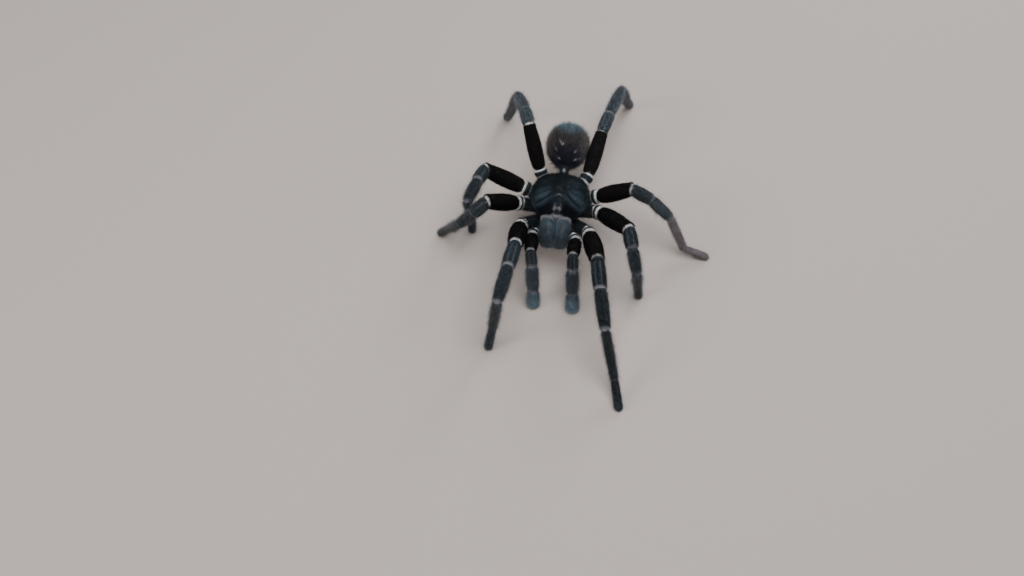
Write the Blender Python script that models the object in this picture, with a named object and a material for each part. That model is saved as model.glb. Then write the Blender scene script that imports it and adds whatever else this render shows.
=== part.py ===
"""A tarantula at life size, standing on a flat floor: a still display model.

The spider faces -Y, its left side is +X, and +Z is up. Everything on the prosoma and the abdomen is
laid out in the body's own frame, whose origin is the middle of the carapace at the level of its rim,
and then pitched and lifted to its stance. Each leg starts at the outer end of its trochanter and is
posed by where its foot stands and by four angles. All outlines include the coat of hair.
"""

import math

import bmesh
import bpy
from mathutils import Matrix, Quaternion, Vector

MM = 0.001
UP = Vector((0, 0, 1))

# Stance
BODY_HEIGHT = 15.0 * MM
BODY_PITCH = math.radians(4)
FOOT_HEIGHT = 0.45 * MM
GAP = 0.3 * MM
EYE_GAP = 0.1 * MM

# Prosoma
CARAPACE_REAR = 10.5 * MM
CARAPACE_FRONT = 11.0 * MM
CARAPACE_WIDTH = 19.2 * MM
REAR_SQUARENESS = 2.3
FRONT_SQUARENESS = 5.0
CARAPACE_FRONT_NARROWING = 0.36
FRONT_ARCH = 2.0 * MM
FRONT_ARCH_WIDTH = 7.8 * MM
CARAPACE_UNDERSIDE = -0.4 * MM
THORAX_RISE = 3.6 * MM
CAPUT_RISE = 2.4 * MM
CAPUT_WIDTH = 9.6 * MM
CAPUT_LENGTH = 14.3 * MM
CAPUT_CENTRE = -5.4 * MM
FOVEA_CENTRE = 0.2 * MM
FOVEA_DEPTH = 0.8 * MM
FOVEA_WIDTH = 3.4 * MM
TUBERCLE_CENTRE = -9.0 * MM
TUBERCLE_SIZE = Vector((2.9, 1.9, 2.4)) * MM
STERNUM_SIZE = Vector((7.6, 14.4, 4.9)) * MM
CHELICERA_WIDTH = 4.9 * MM
CHELICERA_INNER = 0.15 * MM

# Opisthosoma
PEDICEL_RADIUS = 1.6 * MM
PEDICEL_HEIGHT = -1.0 * MM
ABDOMEN_SIZE = Vector((14.6, 18.0, 13.8)) * MM
ABDOMEN_CENTRE = Vector((0, 22.4, 0.4)) * MM
ABDOMEN_REAR_SWELL = 0.10
SPINNERET_LENGTH = 4.6 * MM

# Limbs: lengths of femur, patella, tibia, metatarsus and tarsus (a palp has no metatarsus)
LENGTHS = {
    "leg_1": (17.5, 11.3, 13.0, 16.7, 9.6),
    "leg_2": (17.7, 6.5, 8.1, 10.5, 6.9),
    "leg_3": (14.2, 7.5, 9.4, 12.4, 9.0),
    "leg_4": (16.1, 7.8, 12.9, 14.8, 6.8),
    "palp": (11.4, 5.1, 9.0, 6.0),
}
DIAMETERS = {
    "leg_1": (5.9, 5.0, 4.9, 4.1, 3.5),
    "leg_2": (5.7, 4.9, 4.7, 4.0, 3.4),
    "leg_3": (5.7, 4.8, 4.7, 4.0, 3.4),
    "leg_4": (5.2, 4.8, 4.8, 4.2, 3.6),
    "palp": (4.5, 4.1, 4.9, 4.9),
}
# Where each trochanter ends, on the left side and in the body's frame
SOCKETS = {
    "leg_1": (11.5, -11.7, -3.4),
    "leg_2": (14.2, -3.2, -1.6),
    "leg_3": (12.7, 3.8, -1.5),
    "leg_4": (8.3, 12.1, -0.7),
    "palp": (7.1, -14.1, -4.4),
}
# Where each coxa meets the sternum's edge
COXA_ROOTS = {
    "leg_1": (4.7, -6.8, -3.8),
    "leg_2": (5.6, -2.2, -3.5),
    "leg_3": (5.5, 2.5, -3.4),
    "leg_4": (4.0, 6.9, -3.4),
    "palp": (3.2, -10.1, -5.5),
}
COXA_DIAMETER = 4.0 * MM
PALP_COXA_DIAMETER = 3.6 * MM
TROCHANTER_LENGTH = 2.6 * MM

# How each limb stands: the foot's x and y under the carapace's middle, the femur's heading and
# lift, how far the outer leg leans out of the upright plane through knee and foot, and how far
# the tarsus bends up from the metatarsus
STANCES = {
    ("left", "leg_1"): (27.3, -66.9, -77, 30, 14, 22),
    ("right", "leg_1"): (-15.9, -51.7, -88, 37, -8, 18),
    ("left", "leg_2"): (29.8, -25.4, -52, 32, 19, 8),
    ("right", "leg_2"): (-39.2, -10.3, -128, 44, -78, 7),
    ("left", "leg_3"): (51.4, -6.6, -14, 41, -38, 41),
    ("right", "leg_3"): (-28.6, -7.7, 173, 21, -1, 14),
    ("left", "leg_4"): (19.6, 57.3, 80, 17, -4, 7),
    ("right", "leg_4"): (-24.6, 44.8, 123, 56, 11, 11),
    ("left", "palp"): (8.9, -33.9, -90, 33, 9, 0),
    ("right", "palp"): (-3.9, -33.7, -86, 31, -2, 0),
}
PATELLA_BEND = math.radians(14)

# Thickness along each piece, as (place from 0 to 1, part of its full diameter)
FEMUR_PROFILE = ((0, 0.76), (0.14, 0.92), (0.4, 1.02), (0.72, 0.96), (1, 0.82))
PATELLA_PROFILE = ((0, 0.9), (0.35, 1.0), (0.7, 1.0), (1, 0.9))
TIBIA_PROFILE = ((0, 0.94), (0.3, 1.0), (0.7, 0.96), (1, 0.8))
METATARSUS_PROFILE = ((0, 0.95), (0.35, 1.0), (0.75, 0.94), (1, 0.9))
TARSUS_PROFILE = ((0, 0.94), (0.35, 1.0), (0.75, 1.0), (0.92, 0.86), (1, 0.66), (1.07, 0.44))
RING_POINTS = 8

# Eyes in the tubercle's frame: x and y from its middle, and the eye's diameter
EYES = {
    "front_middle": (0.42, -0.46, 0.52),
    "front_side": (1.02, -0.62, 0.58),
    "rear_middle": (0.62, 0.30, 0.34),
    "rear_side": (1.12, 0.20, 0.46),
}

# Finishes: colour, roughness, metallic
FINISHES = {
    "carapace": ((0.016, 0.021, 0.026), 0.42, 0.0),
    "femur": ((0.006, 0.006, 0.007), 0.75, 0.0),
    "limb": ((0.020, 0.026, 0.033), 0.62, 0.0),
    "abdomen": ((0.018, 0.015, 0.015), 0.80, 0.0),
    "underside": ((0.022, 0.018, 0.016), 0.80, 0.0),
    "eye": ((0.010, 0.009, 0.008), 0.06, 0.0),
    "fang": ((0.008, 0.006, 0.005), 0.15, 0.0),
}

SIDES = {"left": 1, "right": -1}


def clear_scene():
    for obj in list(bpy.data.objects):
        bpy.data.objects.remove(obj, do_unlink=True)


def finish_material(name, finish):
    colour, roughness, metallic = FINISHES[finish]
    material = bpy.data.materials.new(name)
    material.use_nodes = True
    shader = material.node_tree.nodes["Principled BSDF"]
    shader.inputs["Base Color"].default_value = (*colour, 1)
    shader.inputs["Roughness"].default_value = roughness
    shader.inputs["Metallic"].default_value = metallic
    return material


def add_object(name, bm, finish):
    """A named object with its own material from a bmesh, shaded smooth and hung on the model's root."""
    bmesh.ops.recalc_face_normals(bm, faces=bm.faces[:])
    mesh = bpy.data.meshes.new(name)
    bm.to_mesh(mesh)
    bm.free()
    mesh.materials.append(finish_material(name, finish))
    mesh.shade_smooth()
    obj = bpy.data.objects.new(name, mesh)
    parts.objects.link(obj)
    obj.parent = root
    return obj


def loft(rings):
    """A closed skin through rings of equal count, with a flat cap on each end."""
    bm = bmesh.new()
    loops = [[bm.verts.new(point) for point in ring] for ring in rings]
    for low, high in zip(loops, loops[1:]):
        for i in range(len(low)):
            j = (i + 1) % len(low)
            bm.faces.new((low[i], low[j], high[j], high[i]))
    bm.faces.new(loops[0])
    bm.faces.new(loops[-1])
    return bm


def in_body(point):
    """A point of the body's frame, where the standing model has it."""
    return body_frame @ Vector(point)


def smoothstep(low, high, value):
    t = min(max((value - low) / (high - low), 0), 1)
    return t * t * (3 - 2 * t)


def bell(x):
    return math.exp(-x * x)


def cut_with(obj, cutter_bm, name):
    """Cuts a hollow in obj with a hidden cutter."""
    mesh = bpy.data.meshes.new(name)
    bmesh.ops.recalc_face_normals(cutter_bm, faces=cutter_bm.faces[:])
    cutter_bm.to_mesh(mesh)
    cutter_bm.free()
    cutter = bpy.data.objects.new(name, mesh)
    cutter.hide_render = True
    cutter.display_type = "WIRE"
    cutters.objects.link(cutter)
    cutter.parent = root
    modifier = obj.modifiers.new(name, "BOOLEAN")
    modifier.operation = "DIFFERENCE"
    modifier.object = cutter


def ellipsoid(centre, size, columns=16, rows=10):
    """An upright ellipsoid in the body's frame."""
    bm = bmesh.new()
    place = body_frame @ Matrix.Translation(centre) @ Matrix.Diagonal((*(size / 2), 1))
    bmesh.ops.create_uvsphere(bm, u_segments=columns, v_segments=rows, radius=1, matrix=place)
    return bm


# ---- Prosoma ----
CARAPACE_COLUMNS = 32
UNDERSIDE_RINGS = (0.34, 0.6, 0.8, 0.95)
CARAPACE_RINGS = (0.93, 0.8, 0.64, 0.48, 0.32, 0.18, 0.06)


def carapace_outline(angle, scale=1.0, margin=0.0):
    """A shield: a squared ellipse, straight and drawn in at the front."""
    c, s = math.cos(angle), math.sin(angle)
    width = CARAPACE_WIDTH / 2 + margin
    length = (CARAPACE_FRONT if s < 0 else CARAPACE_REAR) + margin
    power = FRONT_SQUARENESS if s < 0 else REAR_SQUARENESS
    radius = (abs(c / width) ** power + abs(s / length) ** power) ** (-1 / power)
    x, y = radius * c, radius * s
    x *= 1 - CARAPACE_FRONT_NARROWING * smoothstep(0.1, 1.0, -y / CARAPACE_FRONT)
    return x * scale, y * scale


def front_arch(x, y):
    """How far the front edge, and the plate behind it, is arched up over the chelicerae."""
    return FRONT_ARCH * bell(x / (FRONT_ARCH_WIDTH / 2)) * smoothstep(0.35, 1.0, -y / CARAPACE_FRONT)


def carapace_height(x, y, scale):
    """Height of the carapace over its rim: the thorax's dome, the raised caput and the fovea."""
    dome = THORAX_RISE * (1 - scale**2.4)
    caput = bell(x / (CAPUT_WIDTH / 2)) * bell((y - CAPUT_CENTRE) / (CAPUT_LENGTH / 2))
    caput *= CAPUT_RISE * (1 - scale**6)
    fovea = FOVEA_DEPTH * bell(x / (FOVEA_WIDTH / 2)) * bell((y - FOVEA_CENTRE) / (1.2 * MM))
    return dome + caput - fovea + front_arch(x, y)


def carapace_skin(margin=0.0):
    """The carapace as a closed skin, or a larger one that clears it by margin all round."""
    angles = [math.tau * i / CARAPACE_COLUMNS for i in range(CARAPACE_COLUMNS)]
    rim = 0.1 * MM
    levels = [(scale, CARAPACE_UNDERSIDE - margin) for scale in UNDERSIDE_RINGS] + [(1.0, rim)]
    rings = []
    for scale, level in levels:
        outline = [carapace_outline(angle, scale, margin) for angle in angles]
        rings.append([in_body((x, y, level + front_arch(x, y))) for x, y in outline])
    for scale in CARAPACE_RINGS:
        outline = [carapace_outline(angle, scale, margin) for angle in angles]
        rings.append([in_body((x, y, carapace_height(x, y, scale) + margin)) for x, y in outline])
    return loft(rings)


def make_carapace():
    return add_object("carapace", carapace_skin(), "carapace")


def tubercle_centre():
    top = carapace_height(0, TUBERCLE_CENTRE, -TUBERCLE_CENTRE / CARAPACE_FRONT)
    return Vector((0, TUBERCLE_CENTRE, top))


def make_tubercle_and_eyes(carapace):
    centre = tubercle_centre()
    tubercle = add_object("ocular_tubercle", ellipsoid(centre, TUBERCLE_SIZE), "carapace")
    clearance = Vector((1, 1, 1)) * 2 * EYE_GAP
    cut_with(carapace, ellipsoid(centre, TUBERCLE_SIZE + clearance), "tubercle_seat")
    half = TUBERCLE_SIZE / 2
    for side, sign in SIDES.items():
        for place, (x, y, diameter) in EYES.items():
            x, y, diameter = x * MM, y * MM, diameter * MM
            rise = half.z * math.sqrt(1 - (x / half.x) ** 2 - (y / half.y) ** 2)
            spot = centre + Vector((sign * x, y, rise)) * 0.94
            spot.y = centre.y + y
            size = Vector((diameter, diameter, diameter))
            seat = ellipsoid(spot, size + clearance, 12, 8)
            cut_with(tubercle, seat, f"eye_seat_{side}_{place}")
            name = f"eye_{side}_{place}"
            add_object(name, ellipsoid(spot, size, 10, 6), "eye")


def make_sternum():
    """The underside between the coxae: a flat column up to the carapace, domed below."""
    columns = 20
    top = CARAPACE_UNDERSIDE - GAP
    levels = ((0.96, 0.0), (1.0, 0.35), (0.98, 0.85), (0.78, 1.0))
    rings = []
    for scale, depth in levels:
        ring = []
        for i in range(columns):
            angle = math.tau * i / columns
            x = STERNUM_SIZE.x / 2 * scale * math.cos(angle)
            y = STERNUM_SIZE.y / 2 * scale * math.sin(angle)
            ring.append(in_body((x, y, top - depth * STERNUM_SIZE.z)))
        rings.append(ring)
    add_object("sternum", loft(rings), "underside")


# Along each chelicera: y, height of the middle, part of its full width, half its height
CHELICERA_SECTIONS = (
    (-8.6, -1.2, 0.80, 1.2),
    (-9.4, -0.6, 0.92, 1.7),
    (-10.2, 0.0, 0.99, 2.2),
    (-11.4, 0.2, 1.0, 2.65),
    (-12.9, -0.2, 1.0, 2.95),
    (-14.5, -1.4, 1.0, 3.0),
    (-15.6, -2.9, 0.98, 2.6),
    (-16.3, -4.3, 0.92, 1.8),
    (-16.6, -5.3, 0.78, 1.0),
)


def make_chelicera(side, sign):
    """The thick basal joint: it comes from under the plate's front edge and curves down, with its
    inner face flat against the other one's."""
    middles = [Vector((0, y, z)) * MM for y, z, _, _ in CHELICERA_SECTIONS]
    rings = []
    for i, (_, _, width, half_height) in enumerate(CHELICERA_SECTIONS):
        before = middles[max(i - 1, 0)]
        after = middles[min(i + 1, len(middles) - 1)]
        along = (after - before).normalized()
        across = Vector((1, 0, 0))
        upward = across.cross(along) * -1
        half_width = CHELICERA_WIDTH / 2 * width
        ring = []
        for k in range(12):
            angle = math.tau * k / 12
            x = sign * (CHELICERA_INNER + half_width) + half_width * math.cos(angle)
            point = middles[i] + across * x + upward * (half_height * MM * math.sin(angle))
            ring.append(in_body(point))
        rings.append(ring)
    chelicera = add_object(f"{side}_chelicera", loft(rings), "carapace")
    cut_with(chelicera, carapace_skin(GAP), f"{side}_clypeus_gap")


FANG_OFFSET = 2.5 * MM
FANG_ARC_CENTRE = Vector((0, -11.5, -4.5)) * MM
FANG_ARC_RADIUS = 4.4 * MM
FANG_DIAMETERS = (1.5, 1.3, 1.05, 0.8, 0.5)


def make_fang(side, sign):
    """A curved claw folded back under its chelicera."""
    rings = []
    start, sweep = math.radians(215), math.radians(62)
    for i, diameter in enumerate(FANG_DIAMETERS):
        turn = start + sweep * i / (len(FANG_DIAMETERS) - 1)
        outward = Vector((0, math.cos(turn), math.sin(turn)))
        middle = FANG_ARC_CENTRE + outward * FANG_ARC_RADIUS
        ring = []
        for k in range(RING_POINTS):
            angle = math.tau * k / RING_POINTS
            offset = Vector((1, 0, 0)) * math.cos(angle) + outward * math.sin(angle)
            point = middle + offset * (diameter * MM / 2)
            ring.append(in_body(point + Vector((sign * FANG_OFFSET, 0, 0))))
        rings.append(ring)
    add_object(f"{side}_fang", loft(rings), "fang")


# ---- Opisthosoma ----


def make_pedicel():
    rings = []
    rear = CARAPACE_REAR
    front_of_abdomen = ABDOMEN_CENTRE.y - ABDOMEN_SIZE.y / 2
    for y, scale in ((rear + GAP, 1.0), (rear + 0.9 * MM, 0.85), (front_of_abdomen + 0.2 * MM, 0.95)):
        ring = []
        for k in range(12):
            angle = math.tau * k / 12
            x = PEDICEL_RADIUS * 1.3 * scale * math.cos(angle)
            z = PEDICEL_HEIGHT + PEDICEL_RADIUS * scale * math.sin(angle)
            ring.append(in_body((x, y, z)))
        rings.append(ring)
    add_object("pedicel", loft(rings), "underside")


def abdomen_shape(direction):
    """A point of the abdomen for a unit direction: an egg, fuller behind and flatter below."""
    half = ABDOMEN_SIZE / 2
    swell = 1 + ABDOMEN_REAR_SWELL * direction.y
    flat = 0.92 if direction.z < 0 else 1.0
    x = half.x * direction.x * swell
    z = half.z * direction.z * swell * flat
    return ABDOMEN_CENTRE + Vector((x, half.y * direction.y, z))


def make_abdomen():
    bm = bmesh.new()
    bmesh.ops.create_uvsphere(bm, u_segments=22, v_segments=14, radius=1)
    lay_down = Matrix.Rotation(math.radians(90), 3, "X")
    for vert in bm.verts:
        vert.co = in_body(abdomen_shape(lay_down @ vert.co))
    abdomen = add_object("abdomen", bm, "abdomen")
    front = ABDOMEN_CENTRE.y - ABDOMEN_SIZE.y / 2
    seat_size = Vector((PEDICEL_RADIUS * 2.6, 0.0, PEDICEL_RADIUS * 2)) + Vector((1, 1, 1)) * 2 * GAP
    seat_size.y = 3 * MM
    cut_with(abdomen, ellipsoid(Vector((0, front, PEDICEL_HEIGHT)), seat_size, 16, 8), "pedicel_seat")
    return abdomen


def make_spinneret(side, sign):
    """The long rear spinneret of one side: three short joints, tapering."""
    start = Vector((sign * 1.7, 30.8, -3.6)) * MM
    along = Vector((sign * 0.22, 0.95, 0.20)).normalized()
    across = Vector((1, 0, 0))
    upward = across.cross(along)
    across = along.cross(upward)
    rings = []
    profile = ((0, 0.8), (0.3, 1.0), (0.4, 0.86), (0.68, 0.9), (0.76, 0.74), (0.95, 0.6), (1, 0.4))
    for place, scale in profile:
        ring = []
        for k in range(RING_POINTS):
            angle = math.tau * k / RING_POINTS
            offset = across * math.cos(angle) + upward * math.sin(angle)
            ring.append(in_body(start + along * SPINNERET_LENGTH * place + offset * 0.75 * MM * scale))
        rings.append(ring)
    return add_object(f"{side}_spinneret", loft(rings), "underside")


# ---- Limbs ----


def heading(azimuth, lift):
    a, e = math.radians(azimuth), math.radians(lift)
    return Vector((math.cos(e) * math.cos(a), math.cos(e) * math.sin(a), math.sin(e)))


def bent_pair(first, second, bend):
    """Two links in a row, the second turned down by bend: length of their chord and its angle."""
    x = first + second * math.cos(bend)
    y = second * math.sin(bend)
    return math.hypot(x, y), math.atan2(y, x)


def joints_of(limb, socket, stance):
    """The points from the socket to the tip of the foot, with each joint of the limb between."""
    foot_x, foot_y, azimuth, lift, lean, ankle_bend = stance
    lengths = [length * MM for length in LENGTHS[limb]]
    knee = socket + heading(azimuth, lift) * lengths[0]
    foot = Vector((foot_x * MM, foot_y * MM, FOOT_HEIGHT))
    reach = foot - knee
    along = reach.normalized()
    outward = (UP - along * UP.dot(along)).normalized()
    outward.rotate(Quaternion(along, math.radians(lean)))
    upper, upper_turn = bent_pair(lengths[1], lengths[2], PATELLA_BEND)
    if limb == "palp":
        lower, lower_turn = lengths[3], 0.0
    else:
        lower, lower_turn = bent_pair(lengths[3], lengths[4], -math.radians(ankle_bend))
    distance = min(max(reach.length, abs(upper - lower) + 0.01 * MM), upper + lower - 0.01 * MM)
    rise = math.acos((upper**2 + distance**2 - lower**2) / (2 * upper * distance))
    fall = math.atan2(-upper * math.sin(rise), distance - upper * math.cos(rise))
    turns = [rise + upper_turn, rise + upper_turn - PATELLA_BEND, fall + lower_turn]
    if limb != "palp":
        turns.append(fall + lower_turn + math.radians(ankle_bend))
    points = [socket, knee]
    for length, turn in zip(lengths[1:], turns):
        step = along * math.cos(turn) + outward * math.sin(turn)
        points.append(points[-1] + step * length)
    return points


def limb_rings(points, profiles, diameters):
    """Rings along a jointed limb, one list for each piece. At a joint both pieces share the ring
    in the plane that halves the bend, and each keeps half a gap from it."""
    directions = [(b - a).normalized() for a, b in zip(points, points[1:])]
    side = directions[0].cross(UP).normalized()
    if side.length < 0.5:
        side = Vector((1, 0, 0))
    pieces = []
    for i, along in enumerate(directions):
        if i:
            side = directions[i - 1].rotation_difference(along) @ side
        upward = side.cross(along)
        length = (points[i + 1] - points[i]).length
        rings = []
        for place, scale in profiles[i]:
            radius = diameters[i] * MM / 2 * scale
            middle = points[i] + along * length * place
            plane = along
            if place == 0 and i:
                plane = (along + directions[i - 1]).normalized()
                middle += along * (GAP / 2 / plane.dot(along))
            if place == 1 and i + 1 < len(directions):
                plane = (along + directions[i + 1]).normalized()
                middle -= along * (GAP / 2 / plane.dot(along))
            ring = []
            for k in range(RING_POINTS):
                angle = math.tau * (k + 0.5) / RING_POINTS
                spot = middle + (side * math.cos(angle) + upward * math.sin(angle)) * radius
                spot -= along * ((spot - middle).dot(plane) / along.dot(plane))
                ring.append(spot)
            rings.append(ring)
        pieces.append(rings)
    return pieces


def joined(first, second):
    """Two pieces that are one solid: the rings that face each other become one."""
    shared = [(a + b) / 2 for a, b in zip(first[-1], second[0])]
    return [*first[:-1], shared, *second[1:]]


def stand_on_floor(bm):
    """Cuts away what lies below the floor and closes the foot with a flat sole."""
    everything = bm.verts[:] + bm.edges[:] + bm.faces[:]
    cut = bmesh.ops.bisect_plane(
        bm, geom=everything, plane_co=(0, 0, 0), plane_no=UP, clear_inner=True
    )
    rim = [item for item in cut["geom_cut"] if isinstance(item, bmesh.types.BMEdge)]
    bmesh.ops.contextual_create(bm, geom=rim)
    return bm


def make_limb(side, limb):
    sign = SIDES[side]
    mirror = Vector((sign, 1, 1))
    socket = in_body(Vector(SOCKETS[limb]) * mirror * MM)
    coxa_root = in_body(Vector(COXA_ROOTS[limb]) * mirror * MM)
    outer = joints_of(limb, socket, STANCES[side, limb])
    femur_along = (outer[1] - outer[0]).normalized()
    coxa_along = (socket - coxa_root).normalized()
    trochanter_along = (femur_along + coxa_along).normalized()
    coxa_end = socket - trochanter_along * TROCHANTER_LENGTH
    femur, *rest = DIAMETERS[limb]
    coxa = (PALP_COXA_DIAMETER if limb == "palp" else COXA_DIAMETER) / MM
    coxa_profile = ((0, 0.94), (0.4, 1.05), (0.75, 1.12), (1, 1.08))
    trochanter_profile = ((0, 0.86), (0.5, 0.92), (1, 0.86))
    profiles = [coxa_profile, trochanter_profile, FEMUR_PROFILE, PATELLA_PROFILE, TIBIA_PROFILE]
    profiles += [TARSUS_PROFILE] if limb == "palp" else [METATARSUS_PROFILE, TARSUS_PROFILE]
    diameters = [coxa, femur, femur, *rest]
    rings = limb_rings([coxa_root, coxa_end, *outer], profiles, diameters)
    name = f"{side}_{limb}"
    add_object(f"{name}_coxa", loft(joined(rings[0], rings[1])), "underside")
    add_object(f"{name}_femur", loft(rings[2]), "femur")
    add_object(f"{name}_tibia", loft(joined(rings[3], rings[4])), "limb")
    foot = rings[5] if limb == "palp" else joined(rings[5], rings[6])
    add_object(f"{name}_foot", stand_on_floor(loft(foot)), "limb")


def centre_on_floor():
    """Moves the root so that the whole model's box is centred over the origin."""
    bpy.context.view_layer.update()
    corners = [obj.matrix_world @ Vector(c) for obj in parts.objects for c in obj.bound_box]
    for axis in (0, 1):
        values = [corner[axis] for corner in corners]
        root.location[axis] = -(min(values) + max(values)) / 2


clear_scene()
parts = bpy.data.collections.new("tarantula")
cutters = bpy.data.collections.new("cutters")
bpy.context.scene.collection.children.link(parts)
bpy.context.scene.collection.children.link(cutters)
root = bpy.data.objects.new("tarantula_root", None)
bpy.context.scene.collection.objects.link(root)
body_frame = Matrix.Translation((0, 0, BODY_HEIGHT)) @ Matrix.Rotation(-BODY_PITCH, 4, "X")

make_tubercle_and_eyes(make_carapace())
make_sternum()
make_pedicel()
make_abdomen()
for body_side, body_sign in SIDES.items():
    make_chelicera(body_side, body_sign)
    make_fang(body_side, body_sign)
    make_spinneret(body_side, body_sign)
for limb_side, limb_name in STANCES:
    make_limb(limb_side, limb_name)
centre_on_floor()
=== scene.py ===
"""Looks of the tarantula: skin, shells, eyes, fangs, claws and the coat of hair, built on the frame.

The body's own frame has its origin at the middle of the carapace, at the level of its rim; it faces
-Y with its left side at +X. Each skin is a grid whose rows run the way the coat lies and whose columns
go round, so that shape, markings and hairs are read from the same grid.
"""
import math

import bpy
import numpy as np
from mathutils import Matrix, Quaternion, Vector


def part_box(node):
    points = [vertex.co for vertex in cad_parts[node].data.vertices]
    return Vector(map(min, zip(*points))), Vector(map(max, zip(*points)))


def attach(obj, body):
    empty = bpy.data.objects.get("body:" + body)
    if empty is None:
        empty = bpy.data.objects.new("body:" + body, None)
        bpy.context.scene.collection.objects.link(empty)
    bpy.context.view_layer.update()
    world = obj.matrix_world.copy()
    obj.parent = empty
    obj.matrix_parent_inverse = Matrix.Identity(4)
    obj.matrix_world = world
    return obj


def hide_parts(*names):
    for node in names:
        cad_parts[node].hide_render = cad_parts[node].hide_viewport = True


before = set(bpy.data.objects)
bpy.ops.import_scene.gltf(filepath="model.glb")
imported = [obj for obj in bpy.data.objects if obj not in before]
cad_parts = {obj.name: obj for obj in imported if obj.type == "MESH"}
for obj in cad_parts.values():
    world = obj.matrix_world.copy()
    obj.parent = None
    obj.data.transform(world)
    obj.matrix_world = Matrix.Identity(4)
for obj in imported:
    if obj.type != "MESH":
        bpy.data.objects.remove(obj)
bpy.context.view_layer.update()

MM = 0.001
UP = Vector((0, 0, 1))
ACROSS = np.array((1.0, 0, 0))
FLOOR_CLEARANCE = 0.02 * MM

# ---- Driving dimensions, as the frame has them ----
BODY_HEIGHT = 15.0 * MM
BODY_PITCH = math.radians(4)
FOOT_HEIGHT = 0.45 * MM
CARAPACE_REAR = 10.5 * MM
CARAPACE_FRONT = 11.0 * MM
CARAPACE_WIDTH = 19.2 * MM
REAR_SQUARENESS = 2.3
FRONT_SQUARENESS = 5.0
CARAPACE_FRONT_NARROWING = 0.36
FRONT_ARCH = 2.0 * MM
FRONT_ARCH_WIDTH = 7.8 * MM
THORAX_RISE = 3.6 * MM
CAPUT_RISE = 2.4 * MM
CAPUT_WIDTH = 9.6 * MM
CAPUT_LENGTH = 14.3 * MM
CAPUT_CENTRE = -5.4 * MM
FOVEA_CENTRE = 0.2 * MM
TUBERCLE_CENTRE = -9.0 * MM
TUBERCLE_SIZE = np.array((2.9, 1.9, 2.4)) * MM
CHELICERA_WIDTH = 4.9 * MM
CHELICERA_INNER = 0.15 * MM
ABDOMEN_SIZE = np.array((14.6, 18.0, 13.8)) * MM
ABDOMEN_CENTRE = np.array((0, 22.4, 0.4)) * MM
ABDOMEN_REAR_SWELL = 0.1
SPINNERET_LENGTH = 4.6
LENGTHS = {
    "leg_1": (17.5, 11.3, 13.0, 16.7, 9.6),
    "leg_2": (17.7, 6.5, 8.1, 10.5, 6.9),
    "leg_3": (14.2, 7.5, 9.4, 12.4, 9.0),
    "leg_4": (16.1, 7.8, 12.9, 14.8, 6.8),
    "palp": (11.4, 5.1, 9.0, 6.0),
}
DIAMETERS = {
    "leg_1": (5.9, 5.0, 4.9, 4.1, 3.5),
    "leg_2": (5.7, 4.9, 4.7, 4.0, 3.4),
    "leg_3": (5.7, 4.8, 4.7, 4.0, 3.4),
    "leg_4": (5.2, 4.8, 4.8, 4.2, 3.6),
    "palp": (4.5, 4.1, 4.9, 4.9),
}
SOCKETS = {
    "leg_1": (11.5, -11.7, -3.4),
    "leg_2": (14.2, -3.2, -1.6),
    "leg_3": (12.7, 3.8, -1.5),
    "leg_4": (8.3, 12.1, -0.7),
    "palp": (7.1, -14.1, -4.4),
}
COXA_ROOTS = {
    "leg_1": (4.7, -6.8, -3.8),
    "leg_2": (5.6, -2.2, -3.5),
    "leg_3": (5.5, 2.5, -3.4),
    "leg_4": (4.0, 6.9, -3.4),
    "palp": (3.2, -10.1, -5.5),
}
COXA_DIAMETER = 4.0
PALP_COXA_DIAMETER = 3.6
TROCHANTER_LENGTH = 2.6 * MM
STANCES = {
    ("left", "leg_1"): (27.3, -66.9, -77, 30, 14, 22),
    ("right", "leg_1"): (-15.9, -51.7, -88, 37, -8, 18),
    ("left", "leg_2"): (29.8, -25.4, -52, 32, 19, 8),
    ("right", "leg_2"): (-39.2, -10.3, -128, 44, -78, 7),
    ("left", "leg_3"): (51.4, -6.6, -14, 41, -38, 41),
    ("right", "leg_3"): (-28.6, -7.7, 173, 21, -1, 14),
    ("left", "leg_4"): (19.6, 57.3, 80, 17, -4, 7),
    ("right", "leg_4"): (-24.6, 44.8, 123, 56, 11, 11),
    ("left", "palp"): (8.9, -33.9, -90, 33, 9, 0),
    ("right", "palp"): (-3.9, -33.7, -86, 31, -2, 0),
}
PATELLA_BEND = math.radians(14)
SIDES = {"left": 1, "right": -1}
EYES = {
    "front_middle": (0.42, -0.46, 0.52),
    "front_side": (1.02, -0.62, 0.58),
    "rear_middle": (0.62, 0.3, 0.34),
    "rear_side": (1.12, 0.2, 0.46),
}

# ---- Colours of skin and coat, linear ----
BLACK = np.array((0.0075, 0.0055, 0.006))
NAVY = np.array((0.0042, 0.0046, 0.008))
TEAL = np.array((0.0055, 0.0095, 0.0115))
SLATE = np.array((0.02, 0.028, 0.035))
DEEP_SLATE = np.array((0.01, 0.014, 0.018))
SLATE_BLUE = np.array((0.034, 0.05, 0.064))
SKY_SLATE = np.array((0.06, 0.088, 0.108))
BROWN = np.array((0.016, 0.012, 0.011))
RUST = np.array((0.06, 0.026, 0.016))
PALE = np.array((0.76, 0.73, 0.71))
LILAC = np.array((0.3, 0.285, 0.305))
GREY = np.array((0.155, 0.157, 0.164))
DUST = np.array((0.16, 0.14, 0.13))
MAUVE_DUST = np.array((0.27, 0.205, 0.205))
PALP_TIP = SKY_SLATE * 3.5


# ---- The frame's place ----
TURN = np.array(Matrix.Rotation(-BODY_PITCH, 3, "X"))


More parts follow.
